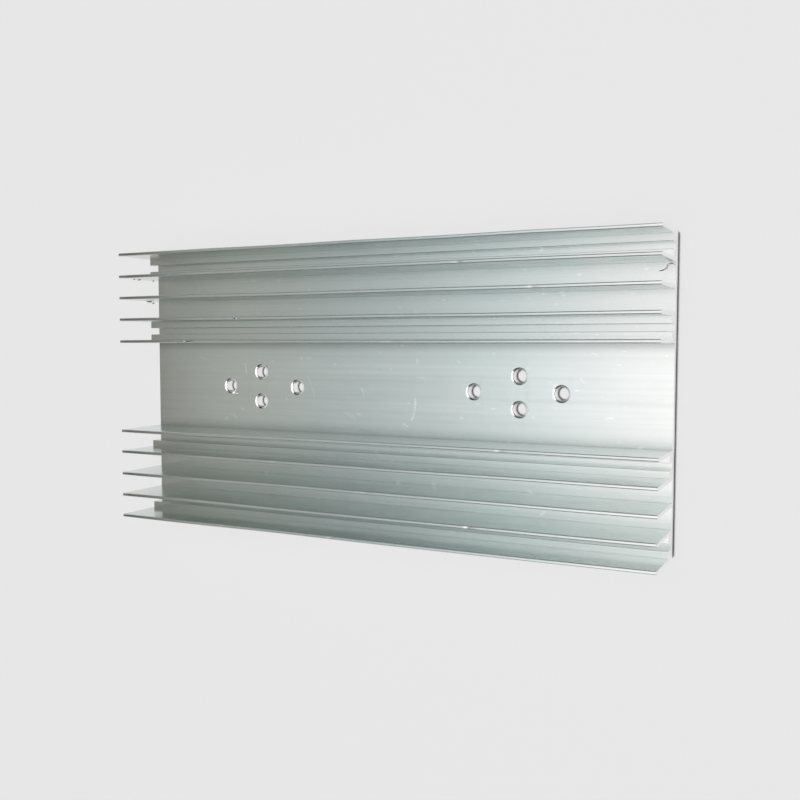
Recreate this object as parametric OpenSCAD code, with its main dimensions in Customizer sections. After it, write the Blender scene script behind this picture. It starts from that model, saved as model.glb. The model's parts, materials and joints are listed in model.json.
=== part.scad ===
// Extruded aluminium heat sink with two banks of fins, a plain channel between
// them and two drillings for power transistors.
// One profile runs the whole length of the bar along X.  The bar rests on its
// base with the fins standing up along Z, and the origin is in the middle of
// its underside.

/* [Bar] */
// Length of the bar, along the extrusion
bar_length = 200; // [150:1:300]
// Width of the bar over its outer fins
bar_width = 100; // [94:0.5:130]
// Thickness of the base plate
base_t = 4.2; // [2.5:0.1:8]
// Radius along the two bottom edges of the base plate
base_edge_r = 0.6; // [0.2:0.1:2]

/* [Fins] */
// Number of fins in each of the two banks
fins_per_bank = 5; // [3:1:5]
// Distance between neighbouring fins, centre to centre
fin_pitch = 8.15; // [6.5:0.05:8.5]
// Height of a fin above the base plate
fin_height = 21.8; // [12:0.1:40]
// Thickness of a fin
fin_t = 1.1; // [0.8:0.05:1.6]
// Radius along the two edges of a fin's tip
fin_tip_r = 0.35; // [0.1:0.05:0.4]
// Radius of the fillet where a fin meets a floor or a rib
root_fillet_r = 0.3; // [0.2:0.05:1]

/* [Screw slots] */
// Width of the slot that a self-tapping screw is driven into
slot_w = 2.4; // [1.6:0.1:3.2]
// Height of the two ribs that wall a screw slot
rib_height = 4.6; // [2:0.1:8]
// Radius along the mouth of a screw slot
slot_lip_r = 0.3; // [0.1:0.05:0.5]

/* [Transistor seats] */
// Distance between the two transistor seats, along the bar
seat_pitch = 100; // [60:1:105]
// Distance between the two fixing screws of a transistor
seat_screw_pitch = 30.15; // [20:0.05:36]
// Distance between the two leads of a transistor, across the bar
seat_lead_pitch = 10.92; // [8:0.02:14]
// Shift of the leads from the middle of the seat towards the end of the bar
seat_lead_shift = 0.9; // [0:0.1:3]
// Diameter of a hole for a fixing screw
screw_hole_d = 5.3; // [3:0.1:7]
// Diameter of a hole for a lead
lead_hole_d = 5.3; // [2:0.1:7]
// Depth of the broken edge at each mouth of a hole
hole_chamfer = 0.25; // [0.1:0.05:0.5]

/* [Hidden] */

$fn = 64;
// Overrun of a cut past the face that it opens, and of a shape into its neighbour
overlap = 0.2;
outer_fin_y = (bar_width - fin_t) / 2;
inner_fin_y = outer_fin_y - (fins_per_bank - 1) * fin_pitch;
last_gap = fins_per_bank - 2;

// The profile is drawn with the bar's width along X and its height along Y.

// Rectangle with its lower left corner at the origin and a round corner at its
// lower left
module soft_cornered(size, corner_r) {
    translate([corner_r, corner_r]) circle(corner_r);
    translate([corner_r, 0]) square([size.x - corner_r, size.y]);
    translate([0, corner_r]) square([size.x, size.y - corner_r]);
}

// Concave fillet in the corner between a wall on its left and a floor below
module corner_fillet(corner_r) {
    difference() {
        translate([-overlap, -overlap]) square(corner_r + overlap);
        translate([corner_r, corner_r]) circle(corner_r);
    }
}

// One fin on its centre line, with the edges of its tip rounded
module fin_profile() {
    for (side = [0, 1])
        mirror([side, 0])
            translate([-fin_t / 2, fin_height])
                mirror([0, 1])
                    soft_cornered([fin_t / 2 + overlap, fin_height + overlap], fin_tip_r);
}

// The two ribs in one gap, each from its fin to the screw slot between them
module slot_ribs() {
    rib_w = (fin_pitch - slot_w) / 2;
    for (side = [0, 1])
        mirror([side, 0])
            translate([slot_w / 2, rib_height])
                mirror([0, 1])
                    soft_cornered([rib_w, rib_height + overlap], slot_lip_r);
}

// Fillets on the floor of a gap, against the two fins that stand a span apart
module gap_fillets(span, floor_height) {
    for (side = [0, 1])
        mirror([side, 0])
            translate([(fin_t - span) / 2, floor_height])
                corner_fillet(root_fillet_r);
}

// Base plate, with rounded bottom edges
module base_profile() {
    for (side = [0, 1])
        mirror([side, 0])
            translate([-bar_width / 2, 0])
                soft_cornered([bar_width / 2 + overlap, base_t], base_edge_r);
}

// Fins of the bank on the positive side, with screw slots in the outermost and
// the innermost of the gaps between them
module bank_profile() {
    for (i = [0:fins_per_bank - 1])
        translate([outer_fin_y - i * fin_pitch, 0])
            fin_profile();
    for (gap = [0:last_gap])
        translate([outer_fin_y - (gap + 0.5) * fin_pitch, 0]) {
            slotted = gap == 0 || gap == last_gap;
            gap_fillets(fin_pitch, slotted ? rib_height : 0);
            if (slotted) slot_ribs();
        }
}

module bar_profile() {
    base_profile();
    for (side = [0, 1])
        mirror([side, 0])
            translate([0, base_t])
                bank_profile();
    translate([0, base_t]) gap_fillets(2 * inner_fin_y, 0);
}

// Drilled hole through the base plate, with both mouths deburred
module drilled_hole(d) {
    translate([0, 0, -overlap]) cylinder(d = d, h = base_t + 2 * overlap);
    mouth_h = hole_chamfer + overlap;
    translate([0, 0, base_t - hole_chamfer])
        cylinder(d1 = d, d2 = d + 2 * mouth_h, h = mouth_h);
    translate([0, 0, -overlap])
        cylinder(d1 = d + 2 * mouth_h, d2 = d, h = mouth_h);
}

// The four holes of one transistor, with its seat's middle at the origin and
// the end of the bar on the positive side
module seat_holes() {
    for (side = [-1, 1]) {
        translate([side * seat_screw_pitch / 2, 0, 0]) drilled_hole(screw_hole_d);
        translate([seat_lead_shift, side * seat_lead_pitch / 2, 0])
            drilled_hole(lead_hole_d);
    }
}

module heat_sink() {
    color("silver")
        difference() {
            rotate([90, 0, 90])
                linear_extrude(height = bar_length, center = true)
                    bar_profile();
            for (end = [0, 1])
                mirror([end, 0, 0])
                    translate([seat_pitch / 2, 0, 0])
                        seat_holes();
        }
}

heat_sink();
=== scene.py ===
# Looks of an extruded aluminium heat sink with sawn ends and two drilled transistor
# seats.  Lengths are in metres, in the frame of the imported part: the bar lies along X
# on its base, and its fins stand up along Z.

import json
import math

import bmesh
import bpy
from mathutils import Matrix, Vector, noise


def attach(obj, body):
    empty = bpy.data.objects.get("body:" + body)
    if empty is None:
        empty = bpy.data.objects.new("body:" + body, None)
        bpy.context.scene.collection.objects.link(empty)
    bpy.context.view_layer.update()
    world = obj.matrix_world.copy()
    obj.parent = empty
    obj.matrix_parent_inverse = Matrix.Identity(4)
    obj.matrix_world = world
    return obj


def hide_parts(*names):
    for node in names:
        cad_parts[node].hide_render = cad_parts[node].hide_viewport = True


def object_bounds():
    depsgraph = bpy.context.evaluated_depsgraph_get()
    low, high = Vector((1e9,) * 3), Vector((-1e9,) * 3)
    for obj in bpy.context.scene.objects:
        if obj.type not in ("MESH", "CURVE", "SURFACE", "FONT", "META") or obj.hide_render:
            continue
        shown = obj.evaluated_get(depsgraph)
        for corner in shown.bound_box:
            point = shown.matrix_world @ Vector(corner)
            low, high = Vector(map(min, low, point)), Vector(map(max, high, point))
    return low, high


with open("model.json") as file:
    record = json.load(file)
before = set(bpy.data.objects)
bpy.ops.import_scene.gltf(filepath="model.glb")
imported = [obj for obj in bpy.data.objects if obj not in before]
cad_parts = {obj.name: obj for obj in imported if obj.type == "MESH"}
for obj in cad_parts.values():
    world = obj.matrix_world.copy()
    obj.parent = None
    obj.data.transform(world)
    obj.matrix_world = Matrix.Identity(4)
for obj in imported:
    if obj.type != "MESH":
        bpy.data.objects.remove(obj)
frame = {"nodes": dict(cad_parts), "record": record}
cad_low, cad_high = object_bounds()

MM = 0.001
UP = Vector((0, 0, 1))
ALONG = Vector((1, 0, 0))
ACROSS = Vector((0, 1, 0))


# ---------------------------------------------------------------- sizes of the bar

def seat_holes():
    """Middle and radius of each drilled hole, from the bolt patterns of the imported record."""
    holes = []
    for mount in frame["record"]["mounts"]:
        if mount["kind"] == "bolt_pattern":
            sizes = mount["dims"]
            step = Vector((sizes.get("spacing_x_mm", 0), sizes.get("spacing_y_mm", 0), 0)) * MM
            for side in (-0.5, 0.5):
                holes.append((Vector(mount["pos_m"]) + side * step, sizes["hole_r_mm"] * MM))
    return holes


HOLES = seat_holes()
BASE_TOP = HOLES[0][0].z
HALF_LENGTH = cad_high.x
HALF_WIDTH = cad_high.y
FIN_TOP = cad_high.z

FIN_THICKNESS = 1.1 * MM
FIN_PITCH = 8.15 * MM
FINS_PER_BANK = 5
RIB_TOP = BASE_TOP + 4.6 * MM
ROOT_FILLET = 0.3 * MM
SLOT_WIDTH = 2.4 * MM
SLOT_LIP = 0.3 * MM


def fin_centres():
    """Y of the middle of each fin, from the outermost on the positive side."""
    outer = HALF_WIDTH - FIN_THICKNESS / 2
    bank = [outer - i * FIN_PITCH for i in range(FINS_PER_BANK)]
    return bank + [-y for y in reversed(bank)]


FINS = fin_centres()
INNER_FIN = FINS[FINS_PER_BANK - 1]
SLOTS = [(FINS[i] + FINS[i + 1]) / 2 for i in (0, 3, 5, 8)]


# ---------------------------------------------------------------- finishes

class Nodes:
    """A node tree, and short calls for the nodes it is made of."""

    def __init__(self, tree):
        self.tree = tree

    def feed(self, socket, value):
        if isinstance(value, bpy.types.NodeSocket):
            self.tree.links.new(value, socket)
        elif socket.type == "RGBA":
            socket.default_value = (*value, 1.0)
        else:
            socket.default_value = value

    def node(self, kind, inputs=None, output=0, **settings):
        """Adds a node and gives one of its outputs."""
        made = self.tree.nodes.new("ShaderNode" + kind)
        for name, value in settings.items():
            setattr(made, name, value)
        for socket, value in (inputs or {}).items():
            self.feed(made.inputs[socket], value)
        return made.outputs[output]

    def math(self, operation, a, b=0.0):
        return self.node("Math", {0: a, 1: b}, operation=operation)

    def add(self, *values):
        total = values[0]
        for value in values[1:]:
            total = self.math("ADD", total, value)
        return total

    def times(self, *values):
        product = values[0]
        for value in values[1:]:
            product = self.math("MULTIPLY", product, value)
        return product

    def window(self, value, low, high):
        """0 below low, 1 above high, and smooth in between; low may be above high."""
        if low < high:
            ends = {1: low, 2: high, 3: 0.0, 4: 1.0}
        else:
            ends = {1: high, 2: low, 3: 1.0, 4: 0.0}
        return self.node("MapRange", {0: value} | ends, interpolation_type="SMOOTHSTEP")

    def mix(self, share, a, b):
        return self.node("Mix", {0: share, 6: a, 7: b}, output=2, data_type="RGBA")


class Finish(Nodes):
    """The node tree of one surface finish."""

    def __init__(self, name):
        self.material = bpy.data.materials.new(name)
        self.material.use_nodes = True
        super().__init__(self.material.node_tree)
        self.shader = self.tree.nodes["Principled BSDF"]
        self.place = self.node("TexCoord", output="Object")
        self.x, self.y, self.z = (self.node("SeparateXYZ", {0: self.place}, output=i) for i in range(3))
        self.flat = self.node("CombineXYZ", {0: self.x, 1: self.y})

    def shade(self, **inputs):
        """Sets or links the shader's own sockets, named with underscores for spaces."""
        for name, value in inputs.items():
            self.feed(self.shader.inputs[name.replace("_", " ")], value)

    def noise(self, per_metre, detail=2.0, rough=0.5, turn=(0, 0, 0)):
        """Noise with that many repeats a metre along X, Y and Z."""
        place = self.node("Mapping", {"Vector": self.place, "Scale": per_metre, "Rotation": turn})
        return self.node("TexNoise", {"Vector": place, "Scale": 1.0, "Detail": detail, "Roughness": rough})

    def swing(self, value, amount):
        """A noise value as a swing about zero of that amount each way."""
        return self.node("MapRange", {0: value, 1: 0.25, 2: 0.75, 3: -amount, 4: amount})

    def lift(self, colour, gain):
        """A colour made lighter or darker by a gain about 1."""
        return self.node("VectorMath", {0: colour, "Scale": gain}, operation="SCALE")

    def grain(self, share):
        """Scatters light more across the bar's grain than along it."""
        across = self.node("Tangent", direction_type="UV_MAP", uv_map=GRAIN_MAP)
        self.shade(Anisotropic=share, Tangent=across)

    def bump(self, height, depth, under=None):
        inputs = {"Height": height, "Distance": depth, "Strength": 1.0}
        if under is not None:
            inputs["Normal"] = under
        return self.node("Bump", inputs)

    def away_from(self, point):
        """Distance from an upright line through a point given in X and Y."""
        return self.node("VectorMath", {0: self.flat, 1: (*point, 0)}, output="Value", operation="DISTANCE")

    def arc(self, start, end, bow, width):
        """1 on a curved hairline between two points of the floor, given in X and Y, and 0 off it.

        The bow is how far the middle of the line is pushed to its left, seen from its start.
        """
        start, end = Vector(start) * MM, Vector(end) * MM
        half = (end - start).length / 2
        heading = (end - start).normalized()
        left = Vector((-heading.y, heading.x))
        radius = (half ** 2 + (bow * MM) ** 2) / (2 * bow * MM)
        middle = (start + end) / 2
        centre = middle + left * (bow * MM - radius)
        off_line = self.math("ABSOLUTE", self.math("SUBTRACT", self.away_from(centre), abs(radius)))
        on_line = self.window(off_line, width * MM, 0.3 * width * MM)
        return self.times(on_line, self.window(self.away_from(middle), half, 0.6 * half))


GRAIN_MAP = "across_and_along"
GRAIN = 0.5
MILL_ROUGHNESS = 0.20
ALUMINIUM = (0.67, 0.728, 0.711)
WARM_STAIN = (0.69, 0.67, 0.64)
SCUFFED_METAL = (0.92, 0.98, 0.97)

# Distance of the painted shade from the channel's middle line, and the width over which it comes up
WALL_SHADE_EDGE = 12.5 * MM
WALL_SHADE_FADE = 5.0 * MM

# Light scuffs on the floor of the channel: start, end and bow in mm, and strength
SCUFF_WIDTH = 0.55
SCUFFS = [((-58.9, 9.2), (-58.1, 4.2), 0.5, 0.9),
          ((-31.0, 5.2), (-27.4, -3.4), 0.3, 0.35),
          ((-8.8, 1.0), (-7.0, -3.2), 0.6, 0.7),
          ((13.0, -1.8), (11.2, -11.4), 0.9, 1.0),
          ((-16.0, -8.3), (-9.8, -11.4), 0.4, 0.4),
          ((8.0, -11.8), (11.0, -13.2), 0.3, 0.7),
          ((-66.0, -11.0), (-62.0, -13.2), 0.8, 0.5),
          ((-33.5, 11.6), (-33.1, 9.4), 0.2, 0.6),
          ((13.5, 11.4), (13.9, 9.0), 0.2, 0.5),
          ((-79.8, 10.6), (-76.2, 9.8), 0.3, 0.5)]


def scuffs(f, fine):
    """1 on the scuffs of the channel's floor, which the fine grain breaks up."""
    marks = [f.times(f.arc(start, end, bow, SCUFF_WIDTH), strength) for start, end, bow, strength in SCUFFS]
    return f.times(f.add(*marks), f.window(f.z, RIB_TOP, BASE_TOP), f.window(fine, 0.3, 0.6))


def channel_wall_shade(f):
    """Painted shade low along both walls of the channel, heavier on the positive side."""
    heavy = f.times(f.window(f.y, WALL_SHADE_EDGE, WALL_SHADE_EDGE + WALL_SHADE_FADE), 0.42)
    light = f.times(f.window(f.y, -WALL_SHADE_EDGE, -WALL_SHADE_EDGE - WALL_SHADE_FADE), 0.2)
    return f.times(f.add(heavy, light), f.window(f.z, RIB_TOP, BASE_TOP + 1.5 * MM))


def mill_finish():
    """Bare extruded metal: die lines along the bar, faint stains, scuffs and rubbed fin tips, with painted
    shade on the tips and low along the channel's walls, and painted light in the channel and on the near
    part of the lower bank.
    """
    f = Finish("mill_finish")
    broad = f.noise((3, 180, 180), detail=3.0)
    lines = f.noise((9, 800, 800), detail=3.0)
    fine = f.noise((30, 3600, 3600), detail=2.0)
    blotches = f.noise((55, 70, 70), detail=4.0, rough=0.6)
    smears = f.noise((60, 260, 260), detail=4.0, rough=0.65)
    dings = f.window(f.noise((330, 600, 600), detail=1.0), 0.70, 0.78)

    far_end = f.times(f.window(f.x, 25 * MM - HALF_LENGTH, -HALF_LENGTH), f.window(blotches, 0.35, 0.6))
    stain = f.add(f.times(f.window(blotches, 0.5, 0.8), 0.2), f.times(far_end, 0.5))
    scuffed = scuffs(f, fine)
    # Rubbed fin tips: smoother, and a little darker in colour, a painted shade that tones down their
    # highlight
    rubbed_and_shaded_tips = f.window(f.z, FIN_TOP - 0.6 * MM, FIN_TOP - 0.2 * MM)
    # Painted shade: the fin tips darken strongly towards the far end
    shaded_far_tips = f.times(rubbed_and_shaded_tips, f.window(f.x, -60 * MM, -95 * MM))
    # Painted light: the channel between the two banks is a little lighter than the gaps between the fins
    channel = f.window(f.math("ABSOLUTE", f.y), INNER_FIN + 0.2 * MM, INNER_FIN - 0.4 * MM)
    # Painted shade on the channel's floor next to the inner fins
    wall_shade = f.times(channel_wall_shade(f), channel)
    # Painted light: the lower bank of fins grows lighter towards the near end
    lit_lower_bank = f.times(f.window(f.y, -16 * MM, -22 * MM), f.window(f.x, -40 * MM, 90 * MM))

    gain = f.add(1.0, f.swing(broad, 0.05), f.swing(lines, 0.05), f.swing(blotches, 0.035),
                 f.swing(smears, 0.04), f.times(dings, 0.12), f.times(rubbed_and_shaded_tips, -0.05),
                 f.times(shaded_far_tips, -0.3), f.times(channel, 0.05), f.times(wall_shade, -1.0),
                 f.times(lit_lower_bank, 0.09))
    worn = f.mix(scuffed, f.mix(stain, ALUMINIUM, WARM_STAIN), SCUFFED_METAL)
    f.shade(Base_Color=f.lift(worn, gain), Metallic=1.0)

    roughness = f.add(MILL_ROUGHNESS, f.swing(broad, 0.03), f.swing(lines, 0.03), f.swing(blotches, 0.03),
                      f.swing(smears, 0.03), f.times(rubbed_and_shaded_tips, -0.05), f.times(scuffed, 0.08))
    f.shade(Roughness=roughness)
    f.grain(GRAIN)

    grooves = f.bump(lines, 0.006 * MM)
    f.shade(Normal=f.bump(fine, 0.002 * MM, grooves))
    return f.material


SAWN_METAL = (0.97, 0.97, 0.975)
# Colour of the painted shade along the foot of the sawn ends
FOOT_SHADE_COLOUR = (0.12, 0.11, 0.16)


def sawn_finish():
    """The cut ends, with fine marks of the saw's teeth up and down, and a painted shade along the foot."""
    f = Finish("sawn_finish")
    teeth = f.noise((50, 2600, 140), detail=3.0, turn=(math.radians(14), 0, 0))
    grain = f.noise((900, 900, 900), detail=2.0)
    gain = f.add(1.0, f.swing(teeth, 0.06), f.swing(grain, 0.03))
    # Painted contact shade: the sawn ends darken over their lowest two millimetres, with a wobbly upper
    # edge
    foot_shade_wobble = f.swing(f.noise((60, 60, 0), detail=2.0), 0.7 * MM)
    foot_shade = f.window(f.add(f.z, foot_shade_wobble), 2.2 * MM, 1.1 * MM)
    f.shade(Base_Color=f.mix(foot_shade, f.lift(SAWN_METAL, gain), FOOT_SHADE_COLOUR), Metallic=1.0)
    f.shade(Roughness=f.add(0.32, f.swing(teeth, 0.08)))
    f.shade(Normal=f.bump(teeth, 0.02 * MM))
    return f.material


def drilled_finish():
    """Walls and broken edges of the holes, with the fine rings that a drill leaves."""
    f = Finish("drilled_finish")
    rings = f.noise((250, 250, 5200), detail=2.0)
    gain = f.add(1.0, f.swing(rings, 0.06))
    f.shade(Base_Color=f.lift(SAWN_METAL, gain), Metallic=1.0)
    f.shade(Roughness=f.add(0.16, f.swing(rings, 0.05)))
    f.shade(Normal=f.bump(rings, 0.003 * MM))
    return f.material


def burr_finish():
    """Torn bright metal of the burrs."""
    f = Finish("burr_finish")
    torn = f.noise((1500, 1500, 1500), detail=3.0)
    f.shade(Base_Color=f.lift(SAWN_METAL, f.add(1.0, f.swing(torn, 0.12))), Metallic=1.0)
    f.shade(Roughness=f.add(0.2, f.swing(torn, 0.08)))
    f.shade(Normal=f.bump(torn, 0.02 * MM))
    return f.material


# ---------------------------------------------------------------- the bar

MERGE = 0.001 * MM
FLAT_ANGLE = math.radians(0.5)
SMOOTH_ANGLE = math.radians(35)

# Share that is left of the rounding at a fin's root and at a slot's lip
TIGHT_ROOT = 0.1
TIGHT_LIP = 0.35

# Width of the broken sawn edges, distance between the cuts across, and how far a tip strays
SAWN_EDGE = 0.12 * MM
SECTION = 5.0 * MM
WAVE = 0.14 * MM

# Half length of a nick, depth of the tip that it presses down, and reach of a hole's broken edge
NICK_REACH = 0.7 * MM
TIP_DEPTH = 0.3 * MM
MOUTH_REACH = 0.3 * MM

# Nicks in the fin tips: number of the fin, place along the bar in mm and depth in mm
NICKS = [(0, -20, 0.12), (1, 38, 0.15), (2, 62, 0.12), (3, -45.3, 0.3), (3, -47.5, 0.2), (4, -68.8, 0.3),
         (4, 15, 0.12), (5, 52, 0.15), (6, -30, 0.2), (7, 5, 0.12), (8, 41.7, 0.35), (9, -8, 0.15)]


def merged_copy(node):
    """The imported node's solid as a bmesh of whole faces, instead of loose triangles."""
    bar = bmesh.new()
    bar.from_mesh(frame["nodes"][node].data)
    bmesh.ops.remove_doubles(bar, verts=bar.verts, dist=MERGE)
    bmesh.ops.dissolve_limit(bar, angle_limit=FLAT_ANGLE, verts=bar.verts, edges=bar.edges)
    return bar


def tighten_corner(vert, middle, half, level, up, radius, share):
    """Draws a vertex of a rounded corner towards the sharp corner that it stands for.

    The sharp corner lies half a width to either side of a middle line and at a level, and
    its rounding runs outwards from there, and up or down.
    """
    side = math.copysign(1, vert.co.y - middle)
    outwards = abs(vert.co.y - middle) - half
    onwards = (vert.co.z - level) * up
    reach = radius + MERGE
    if -MERGE < outwards < reach and -MERGE < onwards < reach:
        vert.co.y = middle + side * (half + outwards * share)
        vert.co.z = level + up * onwards * share


def tighten_corners(bar):
    """Makes the roots of the fins and the lips of the screw slots crisper."""
    for vert in bar.verts:
        for y in FINS:
            for floor in (BASE_TOP, RIB_TOP):
                tighten_corner(vert, y, FIN_THICKNESS / 2, floor, 1, ROOT_FILLET, TIGHT_ROOT)
        for y in SLOTS:
            tighten_corner(vert, y, SLOT_WIDTH / 2, RIB_TOP, -1, SLOT_LIP, TIGHT_LIP)


def sawn_faces(bar):
    end = HALF_LENGTH - MERGE
    return [f for f in bar.faces if abs(f.normal.x) > 0.99 and abs(f.calc_center_median().x) > end]


def break_sawn_edges(bar):
    """Takes the sharpness off the edges round both sawn ends."""
    edges = {e for f in sawn_faces(bar) for e in f.edges}
    bmesh.ops.bevel(bar, geom=list(edges), offset=SAWN_EDGE, segments=2, profile=0.5,
                    affect="EDGES", clamp_overlap=True, material=-1)


def cut_sections(bar):
    """Cuts the long faces across, so that the fins can bend a little and take their nicks."""
    count = round(2 * HALF_LENGTH / SECTION)
    cuts = {i * SECTION - HALF_LENGTH for i in range(1, count)}
    for _, x, _ in NICKS:
        cuts |= {x * MM - NICK_REACH, x * MM, x * MM + NICK_REACH}
    for x in sorted(cuts):
        everything = bar.verts[:] + bar.edges[:] + bar.faces[:]
        bmesh.ops.bisect_plane(bar, geom=everything, dist=MERGE, plane_co=ALONG * x, plane_no=ALONG)


def on_fin(vert, y):
    """Whether a vertex is on the blade of the fin with its middle at y, above the ribs."""
    return abs(vert.co.y - y) < 0.6 * FIN_THICKNESS and vert.co.z > RIB_TOP + ROOT_FILLET


def bend_fins(bar):
    """Lets each fin wave a little along the bar, most at its tip; the outer ones only lean inwards."""
    for number, y in enumerate(FINS):
        outermost = number in (0, len(FINS) - 1)
        for vert in bar.verts:
            if not on_fin(vert, y):
                continue
            height = (vert.co.z - RIB_TOP) / (FIN_TOP - RIB_TOP)
            wave = noise.noise(Vector((vert.co.x / (60 * MM), 7.3 * number, 0)))
            if outermost:
                wave = -abs(wave) * math.copysign(1, y)
            vert.co.y += WAVE * wave * 2 * height ** 2


def nick_tips(bar):
    """Presses each nick down into its fin's tip."""
    for number, x, depth in NICKS:
        for vert in bar.verts:
            at_nick = abs(vert.co.x - x * MM) < MERGE and abs(vert.co.y - FINS[number]) < FIN_THICKNESS
            if at_nick and vert.co.z > FIN_TOP - TIP_DEPTH:
                vert.co.z -= depth * MM


def in_a_hole(face):
    """Whether a face is on the wall or on a broken edge of a hole."""
    middle = face.calc_center_median()
    if middle.z > BASE_TOP + MERGE or abs(face.normal.z) > 0.9:
        return False
    return any((middle - place).xy.length < radius + MOUTH_REACH for place, radius in HOLES)


def map_grain(bar):
    """A UV map with U across the grain and V along it, each in metres."""
    layer = bar.loops.layers.uv.new(GRAIN_MAP)
    for face in bar.faces:
        across = face.normal.cross(ALONG)
        if across.length < 0.5:
            across = ACROSS
        across.normalize()
        along = face.normal.cross(across)
        for loop in face.loops:
            loop[layer].uv = (loop.vert.co.dot(across), loop.vert.co.dot(along))


def extruded_bar():
    """The bar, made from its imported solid, with a finish each for its sides, ends and holes."""
    bar = merged_copy("heat_sink")
    tighten_corners(bar)
    break_sawn_edges(bar)
    cut_sections(bar)
    bend_fins(bar)
    nick_tips(bar)
    bar.normal_update()
    map_grain(bar)
    for face in bar.faces:
        face.smooth = True
        face.material_index = 0
        if in_a_hole(face):
            face.material_index = 2
        elif abs(face.normal.x) > 0.5:
            face.material_index = 1
    mesh = bpy.data.meshes.new("extruded_bar")
    bar.to_mesh(mesh)
    bar.free()
    mesh.set_sharp_from_angle(angle=SMOOTH_ANGLE)
    for finish in (mill_finish(), sawn_finish(), drilled_finish()):
        mesh.materials.append(finish)
    piece = bpy.data.objects.new("extruded_bar", mesh)
    bpy.context.scene.collection.objects.link(piece)
    weighted = piece.modifiers.new("flat_faces_stay_flat", "WEIGHTED_NORMAL")
    weighted.keep_sharp = True
    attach(piece, "root")
    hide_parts("heat_sink")


# ---------------------------------------------------------------- burrs

def finished_piece(name, shape, finish):
    """Puts a modelled shape into the scene, as a piece that rides on the bar."""
    bmesh.ops.recalc_face_normals(shape, faces=shape.faces)
    for face in shape.faces:
        face.smooth = True
    mesh = bpy.data.meshes.new(name)
    shape.to_mesh(mesh)
    shape.free()
    mesh.set_sharp_from_angle(angle=SMOOTH_ANGLE)
    mesh.materials.append(finish)
    piece = bpy.data.objects.new(name, mesh)
    bpy.context.scene.collection.objects.link(piece)
    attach(piece, "root")


def mouth_burrs(finish):
    """The metal that the drill rolled in: a dished rim at each hole's mouth, and a narrower bore below.

    Its section goes round by distances in mm out from the wall and up from the mouth.
    """
    foot = 0.05 - BASE_TOP / MM
    section = [(0.26, 0.01), (0.06, -0.08), (-0.14, -0.17), (-0.34, -0.27), (-0.43, -0.38), (-0.43, foot),
               (0.06, foot)]
    rims = bmesh.new()
    for place, radius in HOLES:
        points = [rims.verts.new(place + Vector((radius + out * MM, 0, up * MM))) for out, up in section]
        edges = [rims.edges.new((points[i - 1], points[i])) for i in range(len(points))]
        bmesh.ops.spin(rims, geom=points + edges, cent=place, axis=UP, steps=48,
                       angle=math.radians(360), use_merge=True)
    bmesh.ops.remove_doubles(rims, verts=rims.verts, dist=MERGE)
    finished_piece("mouth_burrs", rims, finish)


def curled_sliver(slivers, root, centre, turn, climb, width, thickness, lean):
    """A thin strip of torn metal that curls about an upright axis, from its root on the bar.

    Places are in mm, and the turn and the strip's lean from upright in degrees.  It climbs
    and tapers on its way.
    """
    root, centre = Vector(root) * MM, Vector(centre) * MM
    out = (root - centre).normalized()
    lay = Matrix((out, UP, out.cross(UP))).transposed().to_4x4()
    lay = lay @ Matrix.Rotation(math.radians(lean), 4, "Z")
    size = Matrix.Diagonal((thickness * MM, width * MM, 1, 1))
    start = bmesh.ops.create_grid(slivers, x_segments=1, y_segments=1, size=0.5,
                                  matrix=Matrix.Translation(root) @ lay @ size)["verts"]
    faces = {f for v in start for f in v.link_faces}
    edges = {e for v in start for e in v.link_edges}
    steps = 16
    swept = bmesh.ops.spin(slivers, geom=start + list(edges) + list(faces), cent=centre, axis=UP,
                           dvec=UP * climb * MM / steps, steps=steps, angle=math.radians(turn))
    tip = [v for v in swept["geom_last"] if isinstance(v, bmesh.types.BMVert)]
    middle = sum((v.co for v in tip), Vector()) / len(tip)
    for vert in tip:
        vert.co = middle + (vert.co - middle) * 0.3


def saw_burrs(finish):
    """A curl of metal that the saw left hanging at the near end, on the second fin."""
    slivers = bmesh.new()
    near, fin, floor = HALF_LENGTH / MM, FINS[1] / MM, BASE_TOP / MM
    curled_sliver(slivers, root=(near - 0.2, fin - 1.6, floor + 0.5), centre=(near - 1.3, fin - 2.4, floor),
                  turn=160, climb=0.2, width=0.35, thickness=0.1, lean=35)
    curled_sliver(slivers, root=(near - 2.0, fin - 1.3, floor + 0.5), centre=(near - 5.0, fin + 0.1, floor),
                  turn=-64, climb=-0.3, width=0.35, thickness=0.1, lean=-30)
    finished_piece("saw_burrs", slivers, finish)


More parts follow.
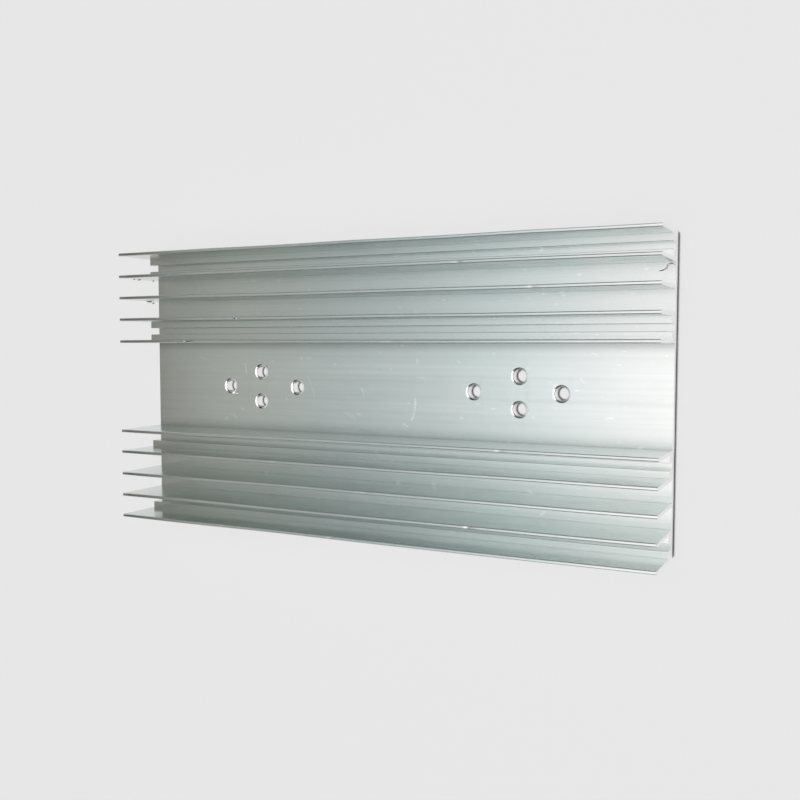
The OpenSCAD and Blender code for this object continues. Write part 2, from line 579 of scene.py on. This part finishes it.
def flakes(finish):
    """Small torn flakes of metal: by a hole, at the foot of a fin and down two fins' far ends.

    Each has its place and size in mm, and how far it tips towards the near end in degrees.
    """
    torn = bmesh.new()
    near, far, floor = HALF_LENGTH / MM, -HALF_LENGTH / MM, BASE_TOP / MM
    second, third = FINS[1] / MM, FINS[2] / MM
    places = [((-63.5, -2.7, floor + 0.2), (0.5, 0.45, 0.06), 27),
              ((-62.3, -2.9, floor + 0.1), (0.3, 0.2, 0.05), 22),
              ((near - 1.4, -44.6, floor + 0.2), (0.6, 0.5, 0.4), 20),
              ((far + 0.8, second - 0.75, 16.2), (0.75, 0.22, 0.1), 60),
              ((far + 0.6, second - 0.7, 18.6), (0.4, 0.15, 0.08), 65),
              ((far + 0.6, second - 0.75, 8.0), (0.4, 0.15, 0.1), 60),
              ((far + 1.0, third - 0.8, 10.6), (1.1, 0.25, 0.12), 50),
              ((far + 0.9, third - 1.2, 8.6), (0.6, 0.25, 0.12), 48)]
    for place, size, tip in places:
        place = Vector(place) * MM
        tilt = Matrix.Rotation(math.radians(tip), 4, "Y")
        lay = Matrix.Translation(place) @ tilt @ Matrix.Diagonal((*size, 1))
        made = bmesh.ops.create_icosphere(torn, subdivisions=3, radius=MM, matrix=lay)
        for vert in made["verts"]:
            ragged = 1 + 0.6 * noise.noise(vert.co / (0.4 * MM))
            vert.co = place + (vert.co - place) * ragged
    finished_piece("flakes", torn, finish)


# ---------------------------------------------------------------- studio

FLOOR_RADIUS = 2.2
FLOOR_MIDDLE = 0.4
COVE_RADIUS = 0.6
COVE_HEIGHT = 1.3

# The paper as it takes light, its own paleness where it is seen, and the share of the latter
PAPER = (0.85, 0.84, 0.84)
PAPER_SEEN = (0.92, 0.92, 0.92)
PALE_SHARE = 0.75
# Reach of the paper's painted contact shadow
CONTACT = 1.0 * MM

SOFTBOX_HEIGHT = 1.5
SOFTBOX_REACH_ACROSS = 0.62
SOFTBOX_RADIANCE = 2.2
WARM, COOL, NEUTRAL = (0.95, 0.93, 0.87), (0.89, 0.93, 0.95), (1.0, 0.93, 0.94)

# Place along the panel as a share of its height, brightness there, and its tint
SOFTBOX_FADE = [(-1.10, 0.08, WARM), (-0.94, 0.17, WARM), (-0.84, 0.25, WARM), (-0.73, 0.25, WARM),
                (-0.58, 0.29, COOL), (-0.44, 0.36, COOL), (-0.30, 0.48, COOL), (-0.16, 0.60, NEUTRAL),
                (0.0, 0.69, NEUTRAL), (0.90, 0.69, NEUTRAL)]


def matt_paper():
    """White paper, whose paleness is mostly its own where it is seen, so that shadows on it stay light.

    Its colour and glow are darkened in the last millimetre before it meets the metal, a painted contact
    shadow.
    """
    f = Finish("matt_paper")
    # Painted contact shadow: colour and glow fade where metal is within the contact reach
    open_air = f.node("AmbientOcclusion", {"Distance": CONTACT}, output="AO", samples=8)
    clear = f.window(open_air, 0.42, 0.86)
    f.shade(Base_Color=f.lift(PAPER, clear), Roughness=0.9, Specular_IOR_Level=0.0)
    glow = f.node("Emission", {"Color": PAPER_SEEN, "Strength": clear})
    rays = ("Is Camera Ray", "Is Glossy Ray", "Is Transmission Ray")
    share = f.times(PALE_SHARE, f.add(*(f.node("LightPath", output=ray) for ray in rays)))
    both = f.node("MixShader", {0: share, 1: f.shader.outputs["BSDF"], 2: glow})
    f.tree.links.new(both, f.tree.nodes["Material Output"].inputs["Surface"])
    return f.material


def studio_floor():
    """White paper that runs level under the part and curves up into a low wall all round."""
    level_reach = FLOOR_RADIUS - COVE_RADIUS
    section = [Vector((x, 0, 0)) for x in (0, FLOOR_MIDDLE, level_reach)]
    steps = 12
    for i in range(1, steps + 1):
        turn = math.radians(90) * i / steps
        section.append(Vector((level_reach + COVE_RADIUS * math.sin(turn), 0,
                               COVE_RADIUS - COVE_RADIUS * math.cos(turn))))
    section.append(Vector((FLOOR_RADIUS, 0, COVE_HEIGHT)))
    paper = bmesh.new()
    points = [paper.verts.new(point) for point in section]
    edges = [paper.edges.new(pair) for pair in zip(points, points[1:])]
    bmesh.ops.spin(paper, geom=points + edges, cent=(0, 0, 0), axis=UP, steps=64,
                   angle=math.radians(360), use_merge=True)
    bmesh.ops.remove_doubles(paper, verts=paper.verts, dist=MERGE)
    bmesh.ops.recalc_face_normals(paper, faces=paper.faces)
    for face in paper.faces:
        face.smooth = True
    mesh = bpy.data.meshes.new("studio_floor")
    paper.to_mesh(mesh)
    paper.free()
    mesh.materials.append(matt_paper())
    floor = bpy.data.objects.new("studio_floor", mesh)
    bpy.context.scene.collection.objects.link(floor)


def aimed(place, target, upright):
    """World matrix of a camera at a place, looking at a target."""
    back = (place - target).normalized()
    right = upright.cross(back).normalized()
    above = back.cross(right)
    turn = Matrix((right, above, back)).transposed()
    return Matrix.Translation(place) @ turn.to_4x4()


def softbox():
    """One long level panel of soft light above the part, which fades towards the far end and beyond."""
    far, near = (SOFTBOX_HEIGHT * stop[0] for stop in (SOFTBOX_FADE[0], SOFTBOX_FADE[-1]))
    lamp = bpy.data.lights.new("softbox", "AREA")
    lamp.shape = "RECTANGLE"
    lamp.size = near - far
    lamp.size_y = 2 * SOFTBOX_HEIGHT * SOFTBOX_REACH_ACROSS
    lamp.energy = SOFTBOX_RADIANCE * math.pi * lamp.size * lamp.size_y
    lamp.use_nodes = True
    n = Nodes(lamp.node_tree)
    share = n.node("SeparateXYZ", {0: n.node("NewGeometry", output="Parametric")})
    fade = n.tree.nodes.new("ShaderNodeValToRGB")
    stops = fade.color_ramp.elements
    for place, _, _ in SOFTBOX_FADE[1:-1]:
        stops.new((place * SOFTBOX_HEIGHT - far) / lamp.size)
    for stop, (_, level, tint) in zip(stops, SOFTBOX_FADE):
        stop.color = (*(level * part for part in tint), 1)
    n.feed(fade.inputs[0], share)
    emission = n.tree.nodes["Emission"]
    n.feed(emission.inputs["Color"], fade.outputs[0])
    panel = bpy.data.objects.new("softbox", lamp)
    panel.location = ((near + far) / 2, 0, SOFTBOX_HEIGHT)
    bpy.context.scene.collection.objects.link(panel)


def dark_room():
    """No light but the panel's and what the paper gives back."""
    world = bpy.data.worlds.new("room")
    world.use_nodes = True
    world.node_tree.nodes["Background"].inputs["Strength"].default_value = 0.0
    bpy.context.scene.world = world


def camera():
    """Looks down on the base from beyond the near end, with the width of the bar upright."""
    aim = Vector((7.3, -3.5, 4.2)) * MM
    stand = Vector((149.8, 16.2, 289.3)) * MM
    lens = bpy.data.cameras.new("camera")
    lens.sensor_width = 36
    lens.lens = 41.27
    lens.clip_start = 10 * MM
    view = bpy.data.objects.new("camera", lens)
    bpy.context.scene.collection.objects.link(view)
    view.matrix_world = aimed(stand, aim, ACROSS)
    bpy.context.scene.camera = view


extruded_bar()
torn_metal = burr_finish()
mouth_burrs(torn_metal)
saw_burrs(torn_metal)
flakes(torn_metal)
studio_floor()
softbox()
dark_room()
camera()

bpy.context.scene.view_settings.view_transform = "Standard"
